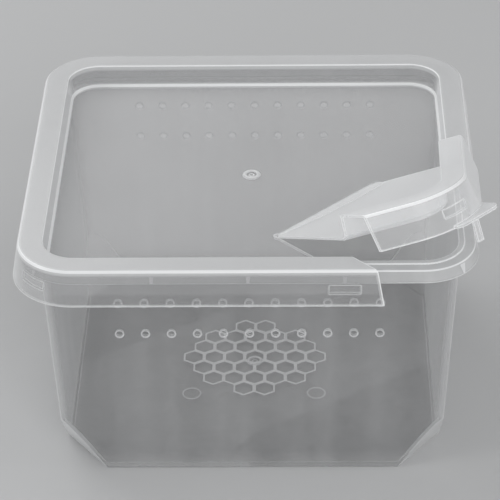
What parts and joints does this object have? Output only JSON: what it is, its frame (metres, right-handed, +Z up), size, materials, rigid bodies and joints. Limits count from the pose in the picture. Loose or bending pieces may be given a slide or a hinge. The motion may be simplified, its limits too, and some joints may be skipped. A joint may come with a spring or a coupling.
{
  "type": "spider breeding box",
  "caption": "Clear tapered box with vent holes, a press-on lid and a hinged corner feeding flap with a pull tab.",
  "frame": {"origin": "centre of the tub's resting face, on the surface it stands on", "axes": "+Z up, +X to the right of someone facing the vented front wall, +Y to the back"},
  "size_m": [0.1845, 0.1742, 0.131],
  "materials": {
    "clear_tub": "translucent natural polypropylene, smooth, slightly milky",
    "clear_lid": "translucent natural polypropylene, satin, milkier than the tub"
  },
  "bodies": {
    "tub": {"box_tub": "clear_tub"},
    "lid": {"lid": "clear_lid"},
    "flap": {"corner_flap": "clear_lid"}
  },
  "joints": [
    {"name": "lid_lift", "type": "slide", "parent": "tub", "child": "lid", "axis": [0, 0, 1], "range_m": [0, 0.06]},
    {"name": "flap_hinge", "type": "hinge", "parent": "lid", "child": "flap", "pos_m": [0.0106, -0.046, 0.0941], "axis": [-0.7071, -0.7071, 0], "range_deg": [-23, 67]}
  ]
}
